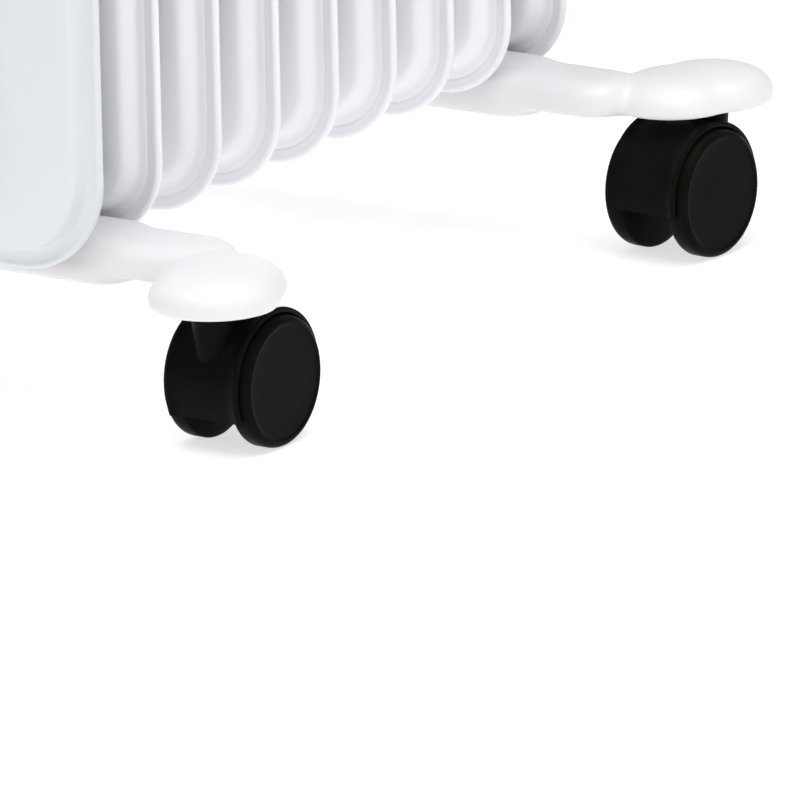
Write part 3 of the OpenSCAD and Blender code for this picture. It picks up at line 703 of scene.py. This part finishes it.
def build_marks():
    """The dial's dashes round the knob, and one or two dashes over each rocker."""
    shell = Shell()
    reach = (KNOB_HIGH.x - KNOB_LOW.x) / 2 + TICK_GAP
    for index in range(TICKS):
        angle = -TICK_SWEEP / 2 + TICK_SWEEP * index / (TICKS - 1)
        turn = math.radians(angle)
        tall = LONG_TICK if index % LONG_TICK_EVERY == 0 else SHORT_TICK
        mark(shell, reach * math.sin(turn), KNOB_MIDDLE_Z + reach * math.cos(turn), TICK_WIDTH, tall,
             -angle)
    for node, bars in (("low_power_rocker", 1), ("high_power_rocker", 2)):
        low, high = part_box(node)
        x = (low.x + high.x) / 2
        for index in range(bars):
            mark(shell, x + (index - (bars - 1) / 2) * ROCKER_MARK_PITCH, high.z + ROCKER_MARK_OVER,
                 ROCKER_MARK_WIDTH, ROCKER_MARK_TALL)
    finish_piece(shell.make("fascia_marks"), body_of("control_fascia"), "housing_white")


# ---------- feet ----------
# voxel size and passes of smoothing of a foot's skin
FOOT_VOXEL = 1.1 * MM
FOOT_SMOOTHING = 36
SMOOTHING_FACTOR = 0.5
SKIN_ANGLE = 60
LOAF_STEPS = 6
SMALLEST_LOAF_RADIUS = 2
# radius of a wing nut's pocket and its lowest and highest z over the bar's underside, in mm
POCKET_RADIUS = 13.5
POCKET_SPAN = (-2, 8.2)
# distance of a nut's axis inside the outer edge of the U-bolts, in mm
NUT_IN = 2.5
# plan, corner radius, lowest and highest z over the bar's underside, crown and lower edge radius of
# the parts of a foot, in mm: the bar's lower slab and its back, a neck at its end and an arm
SLAB = ((160, 40), 14, (0, 9), (1.5, 1.5), 2.5)
BACK = ((160, 37), 14, (1, 18.6), (6, 5), 1.5)
NECK = ((60, 36), 16, (4, 18.0), (10, 8), 1.5)
ARM = ((50, 53), 24.5, (4, 18.3), (19, 11), 1.0)
NECK_X = 89
# how far an arm's middle lies inwards of the stem and outwards of the bar, in mm
ARM_IN = 6.0
ARM_OUT = 18.5
# how far a pad's middle lies past the stem, sideways and outwards, in mm
PAD_PAST_X = 1
PAD_PAST_Y = 0.5
# radius and height over the bar's underside of a pad, in mm
PAD_SECTION = (
    (23.8, 4.0), (25.0, 4.2), (25.5, 5.0), (25.5, 8.6), (25.0, 10.6), (23.8, 12.6), (21.8, 14.5),
    (19.0, 16.0), (15.5, 17.2), (11.0, 18.0), (6.0, 18.4), (0.5, 18.5),
)


def loaf(shell, form, base, x, y):
    """Adds a moulding of rounded plan with a domed top round x and y over base, in mm.

    form is its plan, corner radius, lowest and highest z, crown and lower edge radius. The crown
    says how far the top draws in and how far down that starts.
    """
    (width, depth), radius, (low, high), (draw_in, drop), edge = form
    low_z, high_z = base + low, base + high
    rows = [(edge, low_z), (0.3 * edge, low_z + 0.3 * edge), (0.0, low_z + edge)]
    for step in range(LOAF_STEPS + 1):
        turn = math.radians(90 * step / LOAF_STEPS)
        rows.append((draw_in * (1 - math.cos(turn)), high_z - drop * (1 - math.sin(turn))))
    rings = []
    for inset, z in rows:
        outline = rounded_rect((width - 2 * inset) * MM, (depth - 2 * inset) * MM,
                               max(radius - inset, SMALLEST_LOAF_RADIUS) * MM)
        rings.append([(x * MM + u, y * MM + v, z * MM) for u, v in outline])
    shell.loft(rings)


def fused(shell, name):
    """Melts the shell's overlapping forms into one smooth skin."""
    rough = shell.make(name + "_rough")
    melt = rough.modifiers.new("melt", "REMESH")
    melt.mode = "VOXEL"
    melt.voxel_size = FOOT_VOXEL
    relax = rough.modifiers.new("relax", "SMOOTH")
    relax.factor = SMOOTHING_FACTOR
    relax.iterations = FOOT_SMOOTHING
    graph = bpy.context.evaluated_depsgraph_get()
    data = bpy.data.meshes.new_from_object(rough.evaluated_get(graph))
    bpy.data.objects.remove(rough)
    piece = bpy.data.objects.new(name, data)
    bpy.context.scene.collection.objects.link(piece)
    shade(piece, SKIN_ANGLE)
    return piece


def hollow(piece, cutter):
    """Cuts the cutter's form out of a piece for good."""
    tool = cutter.make("cutter")
    cut = piece.modifiers.new("cut", "BOOLEAN")
    cut.operation = "DIFFERENCE"
    cut.solver = "EXACT"
    cut.object = tool
    graph = bpy.context.evaluated_depsgraph_get()
    piece.data = bpy.data.meshes.new_from_object(piece.evaluated_get(graph))
    piece.modifiers.clear()
    bpy.data.objects.remove(tool)
    shade(piece, SKIN_ANGLE)


def build_foot(node, outward):
    """Moulded foot: bar, necks, arms and domed pads, with pockets for the wing nuts underneath.

    outward is -1 in front and 1 at the rear.
    """
    low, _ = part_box(node)
    corner = "front_right" if outward < 0 else "rear_right"
    stem_x, stem_y, _ = (value / MM for value in JOINTS[corner + "_swivel"]["pos_m"])
    bar_y = (fin_y(1) + fin_y(2)) / 2 / MM
    if outward > 0:
        bar_y = (fin_y(FIN_COUNT - 1) + fin_y(FIN_COUNT)) / 2 / MM
    base = low.z / MM
    shell = Shell()
    loaf(shell, SLAB, base, 0, bar_y)
    loaf(shell, BACK, base, 0, bar_y)
    for side in (-1, 1):
        x = side * stem_x
        loaf(shell, NECK, base, side * NECK_X, bar_y)
        loaf(shell, ARM, base, x - side * ARM_IN, bar_y + ARM_OUT * outward)
        pad_x = x + side * PAD_PAST_X
        pad_y = stem_y + PAD_PAST_Y * outward
        shell.turn([(radius * MM, (base + z) * MM) for radius, z in PAD_SECTION],
                   Matrix.Translation((pad_x * MM, pad_y * MM, 0)))
    piece = fused(shell, f"moulded_{node}")
    nut_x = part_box("foot_u_bolts")[1].x / MM - NUT_IN
    cutter = Shell()
    for side in (-1, 1):
        cutter.turn([(POCKET_RADIUS * MM, (base + z) * MM) for z in POCKET_SPAN],
                    Matrix.Translation((side * nut_x * MM, bar_y * MM, 0)))
    hollow(piece, cutter)
    finish_piece(piece, body_of(node), "foot_white", node)


# ---------- casters ----------
# sizes in mm, the halves measured along the axle from the caster's middle
WHEEL_RADIUS = 25.5
WHEEL_HALF = 20.0
WHEEL_INSIDE = 10.4
WHEEL_HUB = 3.0
WHEEL_INNER_EDGE = 2.8
FENDER_HALF = 16.4
FENDER_RADIUS = 27.5
WEB_HALF = 9.9
# height over the floor of the fender's lower ends, on the stem's side and past the axle, in mm
STEM_SIDE_Z = 14
AXLE_SIDE_Z = 21
# place across the hood from its middle, outer radius and inner radius, in mm
HOOD_SECTION = (
    (FENDER_HALF, 26.9, 26.7), (FENDER_HALF, 27.7, 26.4), (FENDER_HALF - 0.35, 28.2, 26.3),
    (FENDER_HALF - 1.2, 28.35, 26.2), (FENDER_HALF - 2.0, 28.1, 26.2),
    (FENDER_HALF - 2.6, 27.6, 26.2), (WEB_HALF + 0.5, FENDER_RADIUS, 26.1),
    (WEB_HALF, FENDER_RADIUS, 22.0), (WEB_HALF - 0.4, FENDER_RADIUS, 10.0),
    (0.0, FENDER_RADIUS, 9.0),
)
HOOD_ARC_STEPS = 56
# radius and height over the floor of the boss round the stem, in mm, round its wall
STEM_BOSS = (
    (4.4, 30), (6.0, 30), (6.6, 31.0), (7.2, 36), (8.0, 46), (8.5, 53), (8.6, 55.4), (8.3, 56.1),
    (7.8, 56.4), (4.4, 56.4),
)
# inset from the wheel's radius and place inside its outer face, in mm
WHEEL_RIM = (
    (1.3, 8.95), (0.3, 8.6), (0.0, 7.9), (0.0, 3.3), (0.15, 2.2), (0.6, 1.25), (1.2, 0.6),
    (2.0, 0.18), (2.8, 0.05), (3.3, 0.25), (3.7, 0.5), (4.2, 0.55), (13.0, 0.4), (23.5, 0.35),
)


def caster_matrix(corner):
    """Frame of a caster: stem axis at the origin, X towards the axle, Y along the axle."""
    stem = Vector(JOINTS[corner + "_swivel"]["pos_m"])
    hub = Vector(JOINTS[corner + "_outer_spin"]["pos_m"])
    ahead = (hub - stem) * Vector((1, 1, 0))
    turn = math.atan2(ahead.y, ahead.x)
    matrix = Matrix.Translation((stem.x, stem.y, 0)) @ Matrix.Rotation(turn, 4, "Z")
    return matrix, ahead.length / MM, hub.z / MM


def fender_ring(matrix, trail, axle_z, across, outer, inner):
    """Outline of the hood in one plane across the axle, out along one arc and back along another."""
    front_end = math.pi - math.asin((STEM_SIDE_Z - axle_z) / FENDER_RADIUS)
    rear_end = math.asin((AXLE_SIDE_Z - axle_z) / FENDER_RADIUS)
    ring = []
    for radius, start, end in ((outer, rear_end, front_end), (inner, front_end, rear_end)):
        for step in range(HOOD_ARC_STEPS + 1):
            angle = start + (end - start) * step / HOOD_ARC_STEPS
            ring.append(matrix @ Vector(((trail + radius * math.cos(angle)) * MM, across * MM,
                                         (axle_z + radius * math.sin(angle)) * MM)))
    return ring


def build_hood(corner):
    """Caster hood: a fender over both wheels, the web between them and the stem boss."""
    node = corner + "_caster_hood"
    matrix, trail, axle_z = caster_matrix(corner)
    mirrored = [(-across, outer, inner) for across, outer, inner in reversed(HOOD_SECTION[:-1])]
    shell = Shell()
    shell.loft([fender_ring(matrix, trail, axle_z, *row) for row in (*HOOD_SECTION, *mirrored)])
    boss = [(radius * MM, z * MM) for radius, z in STEM_BOSS]
    shell.turn(boss, matrix, closed=True)
    piece = shell.make(f"{corner}_moulded_hood", smooth_angle=40)
    finish_piece(piece, body_of(node), "caster_black", node)


def build_wheel(corner, which):
    """A disc wheel with a rounded rim and a shallow step round its face."""
    node = f"{corner}_{which}_wheel"
    matrix, trail, axle_z = caster_matrix(corner)
    low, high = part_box(node)
    middle = matrix.inverted() @ ((low + high) / 2)
    side = 1 if middle.y > 0 else -1
    axis = matrix @ Matrix.Translation((trail * MM, 0, axle_z * MM))
    axis = axis @ Matrix.Rotation(math.radians(-90 * side), 4, "X")
    profile = [(WHEEL_HUB, WHEEL_INSIDE), (WHEEL_RADIUS - WHEEL_INNER_EDGE, WHEEL_INSIDE)]
    profile += [(WHEEL_RADIUS - inset, WHEEL_HALF - depth) for inset, depth in WHEEL_RIM]
    shell = Shell()
    shell.turn([(radius * MM, place * MM) for radius, place in profile], axis)
    piece = shell.make(f"{corner}_{which}_disc", smooth_angle=50)
    finish_piece(piece, body_of(node), "wheel_black", node)


build_cover()
build_housing()
build_handle()
build_knob()
build_marks()
build_foot("front_foot_bar", -1)
build_foot("rear_foot_bar", 1)
for corner_name in ("front_right", "front_left", "rear_right", "rear_left"):
    build_hood(corner_name)
    for wheel_side in ("outer", "inner"):
        build_wheel(corner_name, wheel_side)


# ---------- carried-over CAD nodes ----------
for node_name, node_object in NODES.items():
    node_object.data.materials.clear()
    node_object.data.materials.append(MATERIALS[slot_of(node_name)])

# width of the rounding on the edges of these nodes, in mm
SOFT_EDGES = {
    "control_fascia": 0.6, "low_power_rocker": 0.5, "high_power_rocker": 0.5,
    "low_power_switch_body": 0.4, "high_power_switch_body": 0.4, "lamp_lens": 0.5,
    "cable_gland": 0.6, "foot_wing_nuts": 0.4, "oil_filler_plug": 0.8,
}
for node_name, edge in SOFT_EDGES.items():
    soften(node_name, edge * MM)


# ---------- floor, light and camera ----------
FLOOR_SIZE = 60
FLOOR_LIGHT = (0.56, 0.56, 0.56)
FLOOR_SHADE = (0.52, 0.52, 0.52)
FLOOR_GLOW = 0.66
WORLD_STRENGTH = 0.38
# name, azimuth and elevation in degrees, distance and size in metres, power in watts and colour
LIGHTS = (
    ("key", -25, 38, 3.0, 1.6, 2.5, (0.97, 0.985, 1.0)),
    ("top", 30, 80, 3.0, 3.2, 112, (1, 1, 1)),
    ("fill", 80, 18, 3.5, 2.2, 15, (1, 1, 1)),
)


def build_floor():
    """A plain pale floor that glows a little, so that it stays white under the heater."""
    bpy.ops.mesh.primitive_grid_add(x_subdivisions=4, y_subdivisions=4, size=FLOOR_SIZE)
    floor = bpy.context.object
    floor.name = "studio_floor"
    material, nodes, links, shader, place = new_material("floor_white")
    tone = noise(nodes, links, place, scale=0.6, detail=2)
    links.new(ramp(nodes, links, tone, FLOOR_SHADE, FLOOR_LIGHT), shader.inputs["Base Color"])
    shader.inputs["Roughness"].default_value = 0.9
    shader.inputs["Emission Color"].default_value = (1, 1, 1, 1)
    shader.inputs["Emission Strength"].default_value = FLOOR_GLOW
    floor.data.materials.append(material)


def view_direction(azimuth, elevation):
    """Unit vector from the heater to a camera or lamp, azimuth 0 being in front of it."""
    turn, rise = math.radians(azimuth), math.radians(elevation)
    return Vector((math.sin(turn) * math.cos(rise), -math.cos(turn) * math.cos(rise),
                   math.sin(rise)))


def soft_light(target, name, azimuth, elevation, distance, size, power, colour):
    """A square softbox that faces target, azimuth counted as for the camera."""
    data = bpy.data.lights.new(name, "AREA")
    data.shape = "SQUARE"
    data.size = size
    data.energy = power
    data.color = colour
    light = bpy.data.objects.new(name, data)
    bpy.context.scene.collection.objects.link(light)
    back = view_direction(azimuth, elevation)
    light.location = target + back * distance
    light.rotation_mode = "QUATERNION"
    light.rotation_quaternion = (-back).to_track_quat("-Z", "Y")


def build_lights():
    """The softboxes and an even white surround."""
    centre = (CAD_LOW + CAD_HIGH) / 2
    for row in LIGHTS:
        soft_light(centre, *row)
    world = bpy.data.worlds.new("studio")
    world.use_nodes = True
    background = world.node_tree.nodes["Background"]
    background.inputs["Color"].default_value = (1, 1, 1, 1)
    background.inputs["Strength"].default_value = WORLD_STRENGTH
    bpy.context.scene.world = world


def build_camera():
    """A long lens from far off, aimed so that only the heater's lower front corner shows."""
    back = view_direction(CAMERA_AZIMUTH, CAMERA_ELEVATION)
    data = bpy.data.cameras.new("camera")
    data.lens = CAMERA_LENS
    data.sensor_width = SENSOR
    data.clip_start = CLIP_START
    data.clip_end = CLIP_END
    camera = bpy.data.objects.new("camera", data)
    bpy.context.scene.collection.objects.link(camera)
    upright = (-back).to_track_quat("-Z", "Y").to_matrix().to_4x4()
    roll = Matrix.Rotation(math.radians(CAMERA_ROLL), 4, "Z")
    target = Vector((0, fin_y(2), 0)) + CAMERA_TARGET_OFFSET
    camera.matrix_world = Matrix.Translation(target + back * CAMERA_DISTANCE) @ upright @ roll
    bpy.context.scene.camera = camera


build_floor()
build_lights()
build_camera()
bpy.context.scene.view_settings.view_transform = "Standard"
